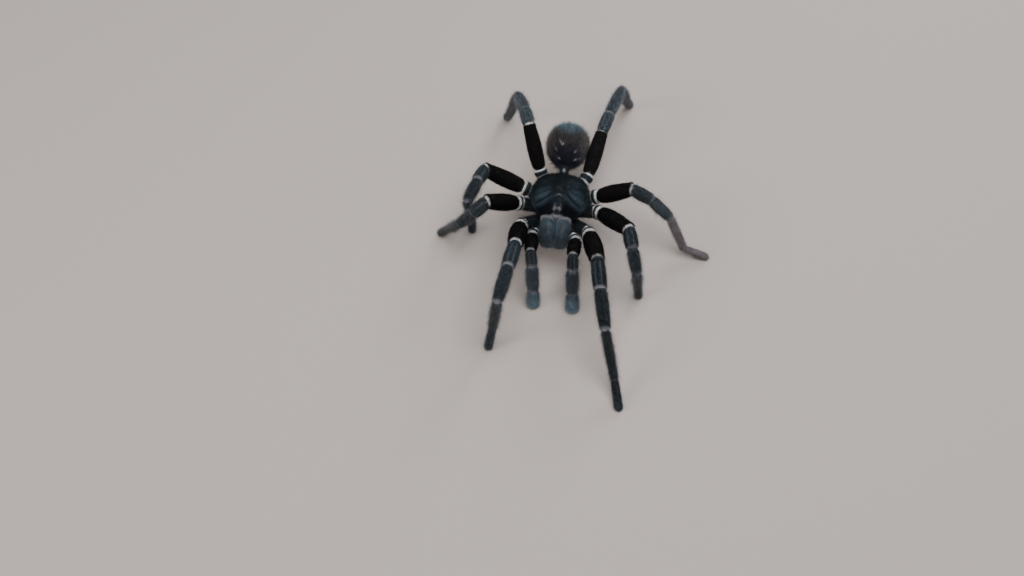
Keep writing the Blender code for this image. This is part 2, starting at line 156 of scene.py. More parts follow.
def superellipse(x, y):
    """How far out x, y lies on the plate's squared ellipse, before the front is drawn in."""
    power = np.where(y < 0, FRONT_SQUARENESS, REAR_SQUARENESS)
    length = np.where(y < 0, CARAPACE_FRONT, CARAPACE_REAR)
    return (np.abs(x / (CARAPACE_WIDTH / 2)) ** power + np.abs(y / length) ** power) ** (1 / power)


def front_taper(y):
    return 1 - CARAPACE_FRONT_NARROWING * ramp(0.1, 1.0, -y / CARAPACE_FRONT)


def carapace_outline(angle, scale=1.0):
    """A shield: a squared ellipse, straight and drawn in at the front."""
    x, y = np.cos(angle), np.sin(angle)
    radius = scale / superellipse(x, y)
    y = y * radius
    return x * radius * front_taper(y / scale), y


def ramp(low, high, value):
    """0 up to low and 1 from high on, smooth between."""
    t = np.clip((value - low) / (high - low), 0, 1)
    return t * t * (3 - 2 * t)


def place_of_body():
    """Where the frame holds the body's origin over the floor, from the carapace's own box."""
    x, y = carapace_outline(np.linspace(0, math.tau, 33)[:-1])
    rim = np.stack([x, y, np.full_like(x, 0.1 * MM)], 1) @ TURN.T
    low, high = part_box("carapace")
    return np.array(((low.x + high.x) / 2, high.y - rim[:, 1].max(), BODY_HEIGHT))


PLACE = place_of_body()


def in_body(points):
    """Points of the body's frame, where the standing model has them."""
    return np.asarray(points, float) @ TURN.T + PLACE


# ---- Small tools ----
def unit(v):
    return v / np.maximum(np.linalg.norm(v, axis=-1, keepdims=True), 1e-12)


def bell(x):
    return np.exp(-x * x)


def curve(stations, values, x):
    """A smooth curve through a few stations, read at x; values may have several columns."""
    stations = np.asarray(stations, float)
    values = np.asarray(values, float)
    slope = np.gradient(values, stations, axis=0)
    i = np.clip(np.searchsorted(stations, x, "right") - 1, 0, len(stations) - 2)
    h = stations[i + 1] - stations[i]
    t = (x - stations[i]) / h
    if values.ndim > 1:
        h, t = h[:, None], t[:, None]
    a = (2 * t**3 - 3 * t**2 + 1) * values[i] + (t**3 - 2 * t**2 + t) * h * slope[i]
    return a + (3 * t**2 - 2 * t**3) * values[i + 1] + (t**3 - t**2) * h * slope[i + 1]


def mix(a, b, amount):
    """Colour a turning to colour b, for one amount or many."""
    amount = np.asarray(amount, float)[..., None]
    return a * (1 - amount) + b * amount


def layered(tint, *layers):
    """A colour with others mixed over it in turn, each with its amount."""
    for colour, amount in layers:
        tint = mix(tint, colour, amount)
    return tint


def plain(colour):
    """A paint of one colour."""
    return lambda r, c: np.tile(colour, (len(r), 1))


def dorsal_distance(around):
    """Turns away from the upper side, 0 on top and 0.5 below."""
    return np.abs((around - 0.25 + 0.5) % 1 - 0.5)


def grid(rows, columns):
    """Row and column of every place of a grid."""
    return np.meshgrid(np.arange(rows), np.arange(columns), indexing="ij")


def angles_round(columns):
    return math.tau * np.arange(columns) / columns


def tube(middle, side, up, radius, columns):
    """A grid of circles across the places of a path."""
    angles = angles_round(columns)[:, None]
    ring = np.cos(angles) * side + np.sin(angles) * up
    return middle[:, None] + ring * radius[:, None, None]


def above_floor(points):
    points[..., 2] = np.maximum(points[..., 2], FLOOR_CLEARANCE)
    return points


# ---- Surfaces ----
class Surface:
    """A closed skin as a grid of points. paint(row, column) gives colours at places on it."""

    def __init__(self, points, paint):
        self.points = points
        self.paint = paint
        self.share = (0, 1)
        self.shape = points.shape[:2]
        along = np.gradient(points, axis=0)
        around = (np.roll(points, -1, 1) - np.roll(points, 1, 1)) / 2
        normal = unit(np.cross(along, around))
        outward = points - points.mean(1, keepdims=True)
        self.sign = 1 if (normal * outward).sum() > 0 else -1
        self.normal = normal * self.sign
        self.along = unit(along)
        size = np.linalg.norm(np.cross(along, around), axis=-1)
        self.area = (size[:-1] + size[1:]) / 2

    def read(self, field, r, c):
        """A field of the grid at fractional rows and columns."""
        rows, columns = self.shape
        r = np.clip(r, 0, rows - 1.001)
        i, j = np.floor(r).astype(int), np.floor(c).astype(int)
        u, v = (r - i)[:, None], (c - j)[:, None]
        j, k = j % columns, (j + 1) % columns
        low = field[i, j] * (1 - v) + field[i, k] * v
        high = field[i + 1, j] * (1 - v) + field[i + 1, k] * v
        return low * (1 - u) + high * u

    def scatter(self, count, rng, density=None):
        """Random places, spread by area and by a density for each cell of the grid."""
        weight = self.area if density is None else self.area * density
        total = np.cumsum(weight.ravel())
        cell = np.searchsorted(total, rng.random(count) * total[-1])
        i, j = np.divmod(cell, weight.shape[1])
        return i + rng.random(count), j + rng.random(count)

    def cells(self):
        """Row and column at the middle of each cell, for densities."""
        rows, columns = self.shape
        i, j = grid(rows - 1, columns)
        return i + 0.5, j + 0.5

    def mesh_arrays(self):
        """Vertices, quads, triangles and colours of the grid, closed at both ends."""
        rows, columns = self.shape
        i, j = grid(rows - 1, columns)
        here, beside = i * columns + j, i * columns + (j + 1) % columns
        quads = np.stack([here, here + columns, beside + columns, beside], -1).reshape(-1, 4)
        first = np.full(columns, rows * columns)
        start = np.stack([first, here[0], beside[0]], -1)
        end = np.stack([first + 1, beside[-1] + columns, here[-1] + columns], -1)
        tris = np.concatenate([start, end])
        if self.sign < 0:
            quads, tris = quads[:, ::-1], tris[:, ::-1]
        points = np.concatenate([
            self.points.reshape(-1, 3), self.points[:1].mean(1), self.points[-1:].mean(1)
        ])
        tint = self.paint(*(place.ravel().astype(float) for place in grid(rows, columns)))
        tint = np.concatenate([tint, tint[:1], tint[-1:]])
        return points, quads, tris, tint


def add_object(name, data):
    obj = bpy.data.objects.new(name, data)
    bpy.context.scene.collection.objects.link(obj)
    return obj


def build_mesh(name, parts):
    """One object from several (points, quads, triangles, colours[, uv of each point])."""
    points, tint = (np.concatenate([part[i] for part in parts]) for i in (0, 3))
    offsets = np.cumsum([0] + [len(part[0]) for part in parts])
    quads, tris = (np.concatenate([part[i] + o for part, o in zip(parts, offsets)]) for i in (1, 2))
    mesh = bpy.data.meshes.new(name)
    mesh.vertices.add(len(points))
    mesh.vertices.foreach_set("co", points.astype(np.float32).ravel())
    loops = np.concatenate([quads.ravel(), tris.ravel()]).astype(np.int32)
    starts = np.concatenate([
        np.arange(len(quads)) * 4, len(quads) * 4 + np.arange(len(tris)) * 3
    ]).astype(np.int32)
    mesh.loops.add(len(loops))
    mesh.loops.foreach_set("vertex_index", loops)
    mesh.polygons.add(len(starts))
    mesh.polygons.foreach_set("loop_start", starts)
    colours = mesh.attributes.new("tint", "FLOAT_COLOR", "POINT")
    rgba = np.concatenate([np.clip(tint, 0, 1), np.ones((len(tint), 1))], 1).astype(np.float32)
    colours.data.foreach_set("color", rgba.ravel())
    if len(parts[0]) > 4:
        uv = np.concatenate([part[4] for part in parts]).astype(np.float32)
        layer = mesh.uv_layers.new(name="OFBake")
        layer.uv.foreach_set("vector", uv[loops].ravel())
    mesh.update(calc_edges=True)
    mesh.shade_smooth()
    return add_object(name, mesh)


# ---- Hairs ----
# A spike is a root triangle and a tip; a lock has a second triangle half way and can bend. Each has
# its quads, its triangles and the places of its points on its own patch of the unwrap.
SPIKE = (
    np.zeros((0, 4), int),
    np.array(((0, 2, 1), (0, 1, 3), (1, 2, 3), (2, 0, 3))),
    np.array(((-1, -1), (1, -1), (0, -0.6), (0, 1))),
)
LOCK = (
    np.array(((0, 1, 4, 3), (1, 2, 5, 4), (2, 0, 3, 5))),
    np.array(((0, 2, 1), (3, 4, 6), (4, 5, 6), (5, 3, 6))),
    np.array(((-1, -1), (1, -1), (0, -1), (-0.7, 0), (0.7, 0), (0, 0), (0, 1))),
)
HALF_PATCH = 0.0015
ROOT_DEPTH = 0.05 * MM
HAIR_THICKNESS = 0.45
HALFWAY_WIDTH = 0.7


def hairs(skin, r, c, rng, length, width, lift, colour, tip, yaw=8.0, bend=None):
    """Hairs or tufts rooted at places of a skin, as mesh arrays with their patch of the unwrap.
    Lengths and widths are in millimetres; lift is the angle off the skin in degrees, yaw how far they
    stray sideways, and bend adds to the lift towards the tip."""
    count = len(r)
    root = skin.read(skin.points, r, c)
    normal = unit(skin.read(skin.normal, r, c))
    along = skin.read(skin.along, r, c)
    along = unit(along - normal * (along * normal).sum(1, keepdims=True))
    across = np.cross(normal, along)
    turn = np.radians(rng.normal(0, 1, count) * yaw)[:, None]
    lie = along * np.cos(turn) + across * np.sin(turn)
    across = np.cross(normal, lie)
    length = (np.asarray(length) * MM * rng.uniform(0.75, 1.25, count))[:, None]
    width = (np.asarray(width) * MM * rng.uniform(0.8, 1.2, count))[:, None]
    rise = np.radians(np.asarray(lift) * rng.uniform(0.7, 1.3, count))[:, None]
    heading = lie * np.cos(rise) + normal * np.sin(rise)
    ridge = normal * np.cos(rise) - lie * np.sin(rise)
    half, top = across * width / 2, ridge * width * HAIR_THICKNESS
    shade = rng.uniform(0.75, 1.3, count)[:, None]
    colour, tip = colour * shade, tip * shade
    base = root - normal * ROOT_DEPTH
    points, tints = [base - half, base + half, base + top], [colour] * 3
    if bend is None:
        quads, tris, spots = SPIKE
        end = root + heading * length
    else:
        quads, tris, spots = LOCK
        ahead = rise + np.radians(bend)
        middle = root + heading * length * 0.5
        points += [middle + edge * HALFWAY_WIDTH for edge in (-half, half, top)]
        tints += [(colour + tip) / 2] * 3
        end = middle + (lie * np.cos(ahead) + normal * np.sin(ahead)) * length * 0.5
    points = above_floor(np.stack([*points, end], 1))
    offset = (np.arange(count) * len(spots))[:, None, None]
    strip, strips = skin.share
    across_strip = (strip + 0.02 + 0.96 * (c / skin.shape[1] % 1)) / strips
    places = np.stack([across_strip, 0.01 + 0.98 * r / skin.shape[0]], 1)
    return (
        points.reshape(-1, 3),
        (quads[None] + offset).reshape(-1, 4),
        (tris[None] + offset).reshape(-1, 3),
        np.stack([*tints, tip], 1).reshape(-1, 3),
        (places[:, None, :] + spots[None] * HALF_PATCH).reshape(-1, 2),
    )


def grow(skin, rng, count, density, length, width, lift, shades, fade=None, paint=None, **manner):
    """Hairs scattered over a skin and coloured as it is. length and lift may be ranges, shades are
    how light root and tip are, and fade is a colour that the tip turns to and how much."""
    r, c = skin.scatter(count, rng, density)
    colour = (paint or skin.paint)(r, c)
    length, lift = (rng.uniform(*v, count) if isinstance(v, tuple) else v for v in (length, lift))
    tip = colour * shades[1]
    if fade:
        tip = mix(tip, *fade)
    return hairs(skin, r, c, rng, length, width, lift, colour * shades[0], tip, **manner)


# ---- Limbs ----
COXA, TROCHANTER, FEMUR, PATELLA, TIBIA, METATARSUS, TARSUS = range(7)
# Thickness along each piece, as (place from 0 to 1, part of its full diameter)
PROFILES = (
    ((0, 0.94), (0.4, 1.05), (0.75, 1.12), (1, 1.08)),
    ((0, 0.86), (0.5, 0.94), (1, 0.86)),
    ((0, 0.76), (0.14, 0.92), (0.4, 1.02), (0.72, 0.96), (1, 0.82)),
    ((0, 0.9), (0.35, 1.0), (0.7, 1.0), (1, 0.9)),
    ((0, 0.94), (0.3, 1.0), (0.7, 0.96), (1, 0.8)),
    ((0, 0.95), (0.35, 1.0), (0.75, 0.94), (1, 0.9)),
    ((0, 0.94), (0.35, 1.0), (0.75, 1.0), (0.9, 0.92), (0.97, 0.74), (1.0, 0.5)),
)
# Distance between rows of skin, and how strongly they bunch at the joints
ROW_SPACING = 0.5 * MM
ROW_BUNCHING = 0.75
# How narrow the limb gets at its joints, up to the knee and beyond it
JOINT_PINCH = 0.9
OUTER_JOINT_PINCH = 0.97
# How far the narrowing reaches into the piece after a joint and into the one before it
START_BLEND = 0.9 * MM
END_BLEND = 0.5 * MM
# The swelling before the end of each piece: part of the radius, distance to the end and width
KNUCKLE = (0.03, 0.75 * MM, 0.4 * MM)
COAT_DEPTH = np.array((0.3, 0.3, 0.34, 0.5, 0.7, 0.75, 0.6)) * MM
LIMB_COLUMNS = 28
# How strong and how wide the pale ring at the far end of each piece is, and its colour
RINGS = (0.95, 0.95, 1.0, 0.75, 0.55, 0.4, 0.0)
RING_WIDTHS = np.array((0.58, 0.74, 0.38, 0.9, 1.4, 0.6, 0)) * MM
RING_COLOURS = np.array((PALE, PALE, PALE, LILAC, LILAC, LILAC, LILAC))
# How strongly the rings from the patella on show
OUTER_RINGS = {"leg_1": 1.0, "leg_2": 0.45, "leg_3": 0.8, "leg_4": 0.6, "palp": 1.6}
# The knees whose ring is fainter than the rest; on the left first leg this is painted shade
FAINT_KNEES = {"left_leg_1": 0.4, "left_leg_3": 0.75, "left_palp": 0.4, "right_palp": 0.5}
# The feet that are paled by dust, and how much
DUSTY_FEET = {"left_leg_3": 0.9, "right_leg_2": 0.15}
# How light each limb is, at its patella and at its tarsus: partly the limbs' own tone and partly painted
# shade, darkest on the left first leg and left palp, which stand in shade
OUTER_TONES_AND_SHADE = {
    "left_leg_1": (0.35, 0.35), "left_leg_2": (0.8, 2.0), "left_leg_3": (0.9, 3.0),
    "left_leg_4": (1.6, 1.2), "left_palp": (0.45, 1.6),
    "right_leg_1": (1.0, 1.4), "right_leg_2": (1.1, 0.95), "right_leg_3": (1.0, 1.0),
    "right_leg_4": (1.6, 1.2), "right_palp": (0.65, 1.7),
}
# How strongly the bald stripes show on each piece, and where on it they start and end
STRIPES = np.array((0, 0, 0, 0.75, 0.22, 0.12, 0))
STRIPE_REACH = np.array(((0, 0, 0, 0.1, 0.05, 0.04, 0), (0, 0, 0, 0.95, 0.8, 0.4, 0)))
# How far they lie from the top, in turns, and how deep
STRIPE_PLACE = 0.072
FURROW_DEPTH = 0.05


def heading(azimuth, lift):
    a, e = math.radians(azimuth), math.radians(lift)
    return Vector((math.cos(e) * math.cos(a), math.cos(e) * math.sin(a), math.sin(e)))


def bent_pair(first, second, bend):
    """Two links in a row, the second turned down by bend: length of their chord and its angle."""
    x = first + second * math.cos(bend)
    y = second * math.sin(bend)
    return math.hypot(x, y), math.atan2(y, x)


def joints_of(limb, socket, stance):
    """The points from the socket to the tip of the foot, and the outer limb's upper side."""
    foot_x, foot_y, azimuth, lift, lean, ankle = stance
    lengths = [length * MM for length in LENGTHS[limb]]
    knee = socket + heading(azimuth, lift) * lengths[0]
    foot = Vector((foot_x * MM + PLACE[0], foot_y * MM + PLACE[1], FOOT_HEIGHT))
    reach = foot - knee
    along = reach.normalized()
    outward = (UP - along * UP.dot(along)).normalized()
    outward.rotate(Quaternion(along, math.radians(lean)))
    upper, upper_turn = bent_pair(lengths[1], lengths[2], PATELLA_BEND)
    ankle = math.radians(ankle)
    # A palp has no metatarsus, so its second link below the tibia has no length
    links = [*lengths[3:], 0][:2]
    lower, lower_turn = bent_pair(*links, -ankle)
    distance = min(max(reach.length, abs(upper - lower) + 0.01 * MM), upper + lower - 0.01 * MM)
    rise = math.acos((upper**2 + distance**2 - lower**2) / (2 * upper * distance))
    fall = math.atan2(-upper * math.sin(rise), distance - upper * math.cos(rise))
    upper_turn, lower_turn = rise + upper_turn, fall + lower_turn
    turns = (upper_turn, upper_turn - PATELLA_BEND, lower_turn, lower_turn + ankle)
    points = [socket, knee]
    for length, turn in zip(lengths[1:], turns):
        step = along * math.cos(turn) + outward * math.sin(turn)
        points.append(points[-1] + step * length)
    return points, along.cross(outward)


def mitre(axis, other, sign, ring, away, radius):
    """How far a piece's rings slide along it near a joint, so that they meet the next piece's."""
    outward = unit(-sign * (other - axis * (other @ axis)))
    half = math.tan(math.acos(other @ axis) / 2)
    weight = np.clip(1 - away / (1.6 * radius * half + 0.3 * MM), 0, 1)
    shift = (ring @ outward) * half
    shift = np.where(shift > 0, 0.85 * shift, shift) * weight[:, None]
    return axis * (shift * sign)[..., None]


class Limb:
    """One leg or palp: its axis, its pieces and its skin."""

    def __init__(self, side, limb):
        self.name = f"{side}_{limb}"
        self.palp = limb == "palp"
        self.tone_and_shade = np.linspace(*OUTER_TONES_AND_SHADE[self.name], 4)
        self.dusty = DUSTY_FEET.get(self.name, 0)
        self.rings = np.array(RINGS)
        self.rings[PATELLA:] *= OUTER_RINGS[limb]
        self.rings[FEMUR] *= FAINT_KNEES.get(self.name, 1)
        mirror = np.array((SIDES[side], 1, 1)) * MM
        socket = Vector(in_body(SOCKETS[limb] * mirror))
        root = Vector(in_body(COXA_ROOTS[limb] * mirror))
        outer, self.hinge = joints_of(limb, socket, STANCES[side, limb])
        femur_along = (outer[1] - outer[0]).normalized()
        trochanter = (femur_along + (socket - root).normalized()).normalized()
        self.joints = [root, socket - trochanter * TROCHANTER_LENGTH, *outer]
        femur, *rest = DIAMETERS[limb]
        coxa = PALP_COXA_DIAMETER if self.palp else COXA_DIAMETER
        self.diameters = [coxa, femur, femur, *rest]
        self.kinds = np.delete(range(7), METATARSUS) if self.palp else np.arange(7)
        self.lengths = np.array([(b - a).length for a, b in zip(self.joints, self.joints[1:])])
        self.starts = np.concatenate([[0], np.cumsum(self.lengths)])
        self.skin = Surface(self.skin_points(), self.paint)

    def sides(self):
        """The sideways direction of each piece, carried along the limb, and the femur's twist that
        brings it to the hinge of the outer joints."""
        along = [(b - a).normalized() for a, b in zip(self.joints, self.joints[1:])]
        side = along[0].cross(UP).normalized()
        found = [side]
        for before, after in zip(along, along[1:]):
            side = before.rotation_difference(after) @ side
            found.append(side)
        upward = found[PATELLA].cross(along[PATELLA])
        twist = math.atan2(self.hinge.dot(upward), self.hinge.dot(found[PATELLA]))
        for i in range(PATELLA, len(found)):
            found[i] = Quaternion(along[i], -twist) @ found[i]
        return along, found, twist

    def skin_points(self):
        """Rings along every piece, narrowed and mitred at the joints, and a femur that twists."""
        along, sides, twist = self.sides()
        angles = angles_round(LIMB_COLUMNS)
        rows, self.row_at = [], []
        swell, swell_place, swell_width = KNUCKLE
        ends = [self.radius(i, np.array((0.0, 1.0))) for i in range(len(self.kinds))]
        for i, kind in enumerate(self.kinds):
            length = self.lengths[i]
            count = int(length / ROW_SPACING) + 12
            u = np.linspace(0, 1, count)
            place = u - ROW_BUNCHING * np.sin(math.tau * u) / math.tau
            radius = self.radius(i, place)
            start_r = min(ends[i - 1][1], ends[i][0]) * self.pinch(i) if i else radius[0]
            end_r = min(ends[i][1], ends[i + 1][0]) * self.pinch(i + 1) if i + 1 < len(ends) else radius[-1]
            s = place * length
            radius = start_r + (radius - start_r) * ramp(0, START_BLEND, s)
            radius = end_r + (radius - end_r) * ramp(0, END_BLEND, length - s)
            radius = radius * (1 + swell * bell((length - s - swell_place) / swell_width))
            axis, side = np.array(along[i]), np.array(sides[i])
            turn = np.zeros(count)
            if kind == FEMUR:
                turn = twist * (place - 1)
                side = np.array(Quaternion(along[i], -twist) @ sides[i])
            up = np.cross(side, axis)
            a = angles[None] + turn[:, None]
            ring = np.cos(a)[..., None] * side + np.sin(a)[..., None] * up
            ring = ring * (radius[:, None] * self.section(kind, angles, place))[..., None]
            points = np.array(self.joints[i]) + axis * s[:, None, None] + ring
            for j, sign, away in ((i - 1, -1, s), (i + 1, 1, length - s)):
                if 0 <= j < len(along):
                    points = points + mitre(axis, np.array(along[j]), sign, ring, away, radius.max())
            if i:
                rows[-1][-1] = (rows[-1][-1] + points[0]) / 2
                points, s = points[1:], s[1:]
            rows.append(points)
            self.row_at.append(self.starts[i] + s)
        self.row_at = np.concatenate(self.row_at)
        return above_floor(np.concatenate(rows))

    def pinch(self, i):
        """How far the skin draws in at the joint before piece i."""
        return OUTER_JOINT_PINCH if self.kinds[i] > PATELLA else JOINT_PINCH

    def radius(self, i, place):
        kind = self.kinds[i]
        stations, parts = zip(*PROFILES[kind])
        full = self.diameters[i] * MM / 2 * curve(stations, parts, place)
        return np.maximum(full - COAT_DEPTH[kind], 0.3 * full)

    def section(self, kind, angles, place):
        """How the cross-section departs from a circle: shallow furrows along the bald stripes."""
        return 1 - FURROW_DEPTH * self.stripe(kind, place[:, None], (angles / math.tau)[None])

    def stripe(self, kind, place, around):
        """The two bald stripes along the upper side of patella, tibia and metatarsus."""
        low, high = STRIPE_REACH[:, kind]
        ends = ramp(low, low + 0.08, place) * (1 - ramp(high - 0.1, high + 1e-6, place))
        return ends * bell((dorsal_distance(around) - STRIPE_PLACE) / 0.02)

    def where(self, r, c):
        """Kind of piece, place along it, distance to its two ends and turn round it."""
        s = np.interp(r, np.arange(len(self.row_at)), self.row_at)
        i = np.clip(np.searchsorted(self.starts, s, "right") - 1, 0, len(self.kinds) - 1)
        length, before = self.lengths[i], s - self.starts[i]
        return self.kinds[i], before / length, before, length - before, c / LIMB_COLUMNS

    def paint(self, r, c):
        kind, place, before, after, around = self.where(r, c)
        off_top = dorsal_distance(around)
        outer = np.array((SLATE * 0.9, SLATE, SLATE, SLATE))
        last = np.maximum(kind - 1, 0)
        if self.palp:
            outer[1:] = SLATE_BLUE
            last = np.where(kind == TARSUS, TIBIA, last)
        # the outer pieces take their limb's tone, which holds painted shade
        tones = np.array((DEEP_SLATE * 0.4, DEEP_SLATE, BLACK, *(outer * self.tone_and_shade[:, None])))
        # painted shade: a dark strip along the top of the pieces beyond the patella, to darken where the
        # light from above falls
        shaded_top = (kind > PATELLA) * bell(off_top / 0.12)
        width = RING_WIDTHS[kind] + 1e-9
        ring = self.rings[kind] * (1 - ramp(0.6 * width, 1.1 * width, after))
        start = (kind > COXA) * self.rings[last] * (1 - ramp(0.04 * MM, 0.16 * MM, before))
        return layered(
            tones[kind],
            (PALP_TIP, 0.85 * self.palp * (kind == TARSUS) * ramp(-0.1, 0.7, place)),
            (SKY_SLATE, 0.35 * (kind == TARSUS) * ramp(0.35, 0.9, place)),
            (BROWN * 0.9, 0.4 * ramp(0.15, 0.5, off_top) * (kind != FEMUR)),
            (NAVY, 0.6 * (1 - self.dusty) * (not self.palp) * shaded_top),
            (mix(SKY_SLATE, DUST, 0.3), STRIPES[kind] * self.stripe(kind, place, around)),
            (MAUVE_DUST, self.dusty * (kind >= METATARSUS)),
            (RING_COLOURS[kind], np.clip(ring, 0, 1)),
            (RING_COLOURS[last], start),
        )


PILE_PER_MM2 = 17
FRINGE_PER_MM2 = 60
BRISTLES_PER_MM2 = 1.2
HAZE_PER_MM2 = 12
PAD_PER_MM2 = 26
# For each piece, from coxa to tarsus: the hairs' lengths, widths and lifts, how pale the haze's tips
# are, and how thick pile, bristles and haze stand
PILE = np.array((
    (1.0, 0.6, 1.0, 1.15, 1.25, 1.15, 0.85),
    (0.13, 0.13, 0.14, 0.14, 0.14, 0.12, 0.11),
    (20, 15, 20, 18, 17, 14, 16),
))
HAZE_LENGTHS = np.array((1.2, 0.8, 1.1, 1.3, 1.7, 1.8, 1.4))
HAZE_PALENESS = np.array((0.35, 0.3, 0, 0.6, 0.85, 0.9, 0.8))
BRISTLE_LENGTHS = np.array((1.6, 1.2, 1.5, 2.3, 2.7, 2.6, 1.5))
PILE_DENSITY = np.array((1.0, 1.0, 1.1, 1.0, 1.0, 1.15, 1.3))
BRISTLE_DENSITY = np.array((0.9, 0.2, 0.5, 1.0, 1.4, 1.6, 0.9))
HAZE_DENSITY = np.array((1.2, 0.3, 0.4, 0.7, 1.2, 1.5, 1.4))
PALP_SHAG = 1.25
BENT = {"yaw": 14, "bend": -16}


def coat_of_limb(limb, rng):
    """The femur's black velvet, and the rest: short hairs lying down the limb, pale ones on its rings,
    long bristles and the foot's pad."""
    skin = limb.skin
    kind, place, before, after, around = limb.where(*skin.cells())
    off_top = dorsal_distance(around)
    shaggy = PALP_SHAG if limb.palp else 1.0

    def lay(density, per_mm2, make, **manner):
        count = int(per_mm2 * (skin.area / MM**2 * density).sum())
        r, c = skin.scatter(count, rng, density)
        kind, place, _, _, around = limb.where(r, c)
        looks = make(kind, limb.paint(r, c), place, dorsal_distance(around))
        return hairs(skin, r, c, rng, *looks, **manner)

    # Each gives length, width, lift and the colours of root and tip
    def pile(kind, colour, *_):
        return *PILE[:, kind], colour * 0.7, colour * 1.25

    def haze(kind, colour, *_):
        length = HAZE_LENGTHS[kind] * rng.uniform(0.7, 1.15, len(kind))
        lift = rng.uniform(28, 46, len(kind))
        return length, 0.06, lift, colour, mix(colour * 1.3, GREY * 2.2, HAZE_PALENESS[kind])

    def bristle(kind, colour, _, off_top):
        length = BRISTLE_LENGTHS[kind] * rng.uniform(0.6, 1.25, len(kind))
        length = length * np.where(off_top > 0.3, 1.15, 0.95)
        lift = rng.uniform(28, 55, len(kind))
        colour = colour * 1.2
        return length, 0.065, lift, colour, mix(colour, GREY, np.where(kind == FEMUR, 0.1, 0.5))

    def fringe(kind, colour, *_):
        colour = mix(colour, RING_COLOURS[kind], np.minimum(limb.rings[kind], 1))
        outer = kind > FEMUR
        return np.where(outer, 0.85, 0.32), 0.07, np.where(outer, 24, 12), colour * 0.8, colour

    def pad(kind, _, place, *__):
        end = ramp(0.5, 1.0, place)
        colour = mix(mix(SLATE, SKY_SLATE * 0.7, end), MAUVE_DUST, np.full(len(kind), limb.dusty))
        if limb.palp:
            colour = np.tile(PALP_TIP, (len(kind), 1))
        return (0.55 + 0.35 * end) * shaggy, 0.1, 26, colour * 0.7, colour * 1.4

    width = RING_WIDTHS[kind]
    bare = ((after < 0.9 * width) & (kind < TARSUS)) | ((before < 0.12 * MM) & (kind > COXA))
    furry = PILE_DENSITY[kind] * np.where(bare, 0.05, 1)
    furry = furry * (1 - STRIPES[kind] * limb.stripe(kind, place, around))
    bristly = BRISTLE_DENSITY[kind] * shaggy
    flank = ramp(0.06, 0.18, off_top)
    hazy = HAZE_DENSITY[kind] * shaggy * np.where(bare, 0, 0.06 + flank)
    ringed = np.sqrt(limb.rings)[kind] * ((after > 0.5 * width) & (after < width + 0.12 * MM))
    padded = np.where(place > 0.72, 2.2, off_top > 0.27) * (kind == TARSUS)
    padded = padded + 0.6 * (off_top > 0.33) * (kind == METATARSUS)
    velvet, rest = (
        [lay(furry * part, PILE_PER_MM2, pile), lay(bristly * part, BRISTLES_PER_MM2, bristle, **BENT)]
        for part in (kind == FEMUR, kind != FEMUR)
    )
    velvet.append(lay(hazy * (kind == FEMUR), HAZE_PER_MM2, haze, yaw=14))
    rest.append(lay(hazy * (kind != FEMUR), HAZE_PER_MM2, haze, yaw=14))
    rest += [lay(ringed, FRINGE_PER_MM2, fringe), lay(padded, PAD_PER_MM2, pad, yaw=14)]
    return velvet, rest


def make_claws(limbs):
    """Two small curved claws between the pads at the end of each foot."""
    claws = []
    place = np.linspace(0, 1, 9)
    turn = np.radians(20 - 95 * place)[:, None]
    for limb in limbs:
        along, sides, _ = limb.sides()
        axis, side = np.array(along[-1]), np.array(sides[-1])
        up = np.cross(side, axis)
        for sign in (-1, 1):
            path = np.cumsum(np.cos(turn) * axis + np.sin(turn) * up, 0) * 0.1
            start = up * 0.35 - axis * 0.25 + side * sign * 0.32
            middle = np.array(limb.joints[-1]) + (start + path) * MM
            points = tube(middle, side, up, 0.11 * MM * (1 - 0.85 * place), 8)
            claws.append(Surface(above_floor(points), plain(BROWN)))
    return claws


# ---- Abdomen, spinnerets, pedicel and sternum ----
ABDOMEN_COAT = 0.75 * MM
# The two spinnerets of a side: start, direction, length and radius, in millimetres
SPINNERETS = (
    ((1.7, 30.8, -3.6), (0.22, 0.95, 0.2), SPINNERET_LENGTH, 0.6),
    ((0.7, 30.5, -4.4), (0.1, 0.9, -0.25), 1.6, 0.4),
)
SPINNERET_ROWS = 44
TRUNK_SQUARENESS = 0.85
# Sternum and pedicel along Y: y, height, half width and half height in millimetres
STERNUM = (
    (-8.9, -4.9, 0.3, 0.3), (-8.3, -4.9, 1.1, 0.8), (-7.4, -4.4, 1.4, 1.1), (-6.6, -3.4, 2.5, 1.9),
    (-4.0, -3.0, 3.3, 2.3), (0, -2.9, 3.6, 2.5), (4.0, -2.9, 3.3, 2.3), (6.6, -2.8, 1.9, 1.7),
    (7.4, -2.7, 0.4, 0.5),
)
PEDICEL = (
    (6.5, -1.6, 2.0, 1.4), (9.5, -1.2, 1.8, 1.3), (11.3, -1.0, 1.45, 1.15), (13.2, -0.9, 1.6, 1.25),
    (15.2, -0.7, 2.4, 1.8),
)
PEDICEL_STRIPE = 11.9
# Six small pale flecks on the front half of its back, as directions from its middle
FLECKS = (
    (-0.25, -0.5, 0.83), (-0.51, -0.63, 0.58), (-0.33, -0.89, 0.32),
    (0.43, -0.65, 0.63), (0.44, -0.86, 0.26), (0.68, -0.71, 0.18),
)


def egg(direction):
    """A place on the abdomen's outline for unit directions: an egg, fuller behind, flatter below."""
    half = ABDOMEN_SIZE / 2
    swell = 1 + ABDOMEN_REAR_SWELL * direction[..., 1]
    flat = np.where(direction[..., 2] < 0, 0.92, 1.0)
    return ABDOMEN_CENTRE + direction * half * np.stack([swell, np.ones_like(swell), swell * flat], -1)


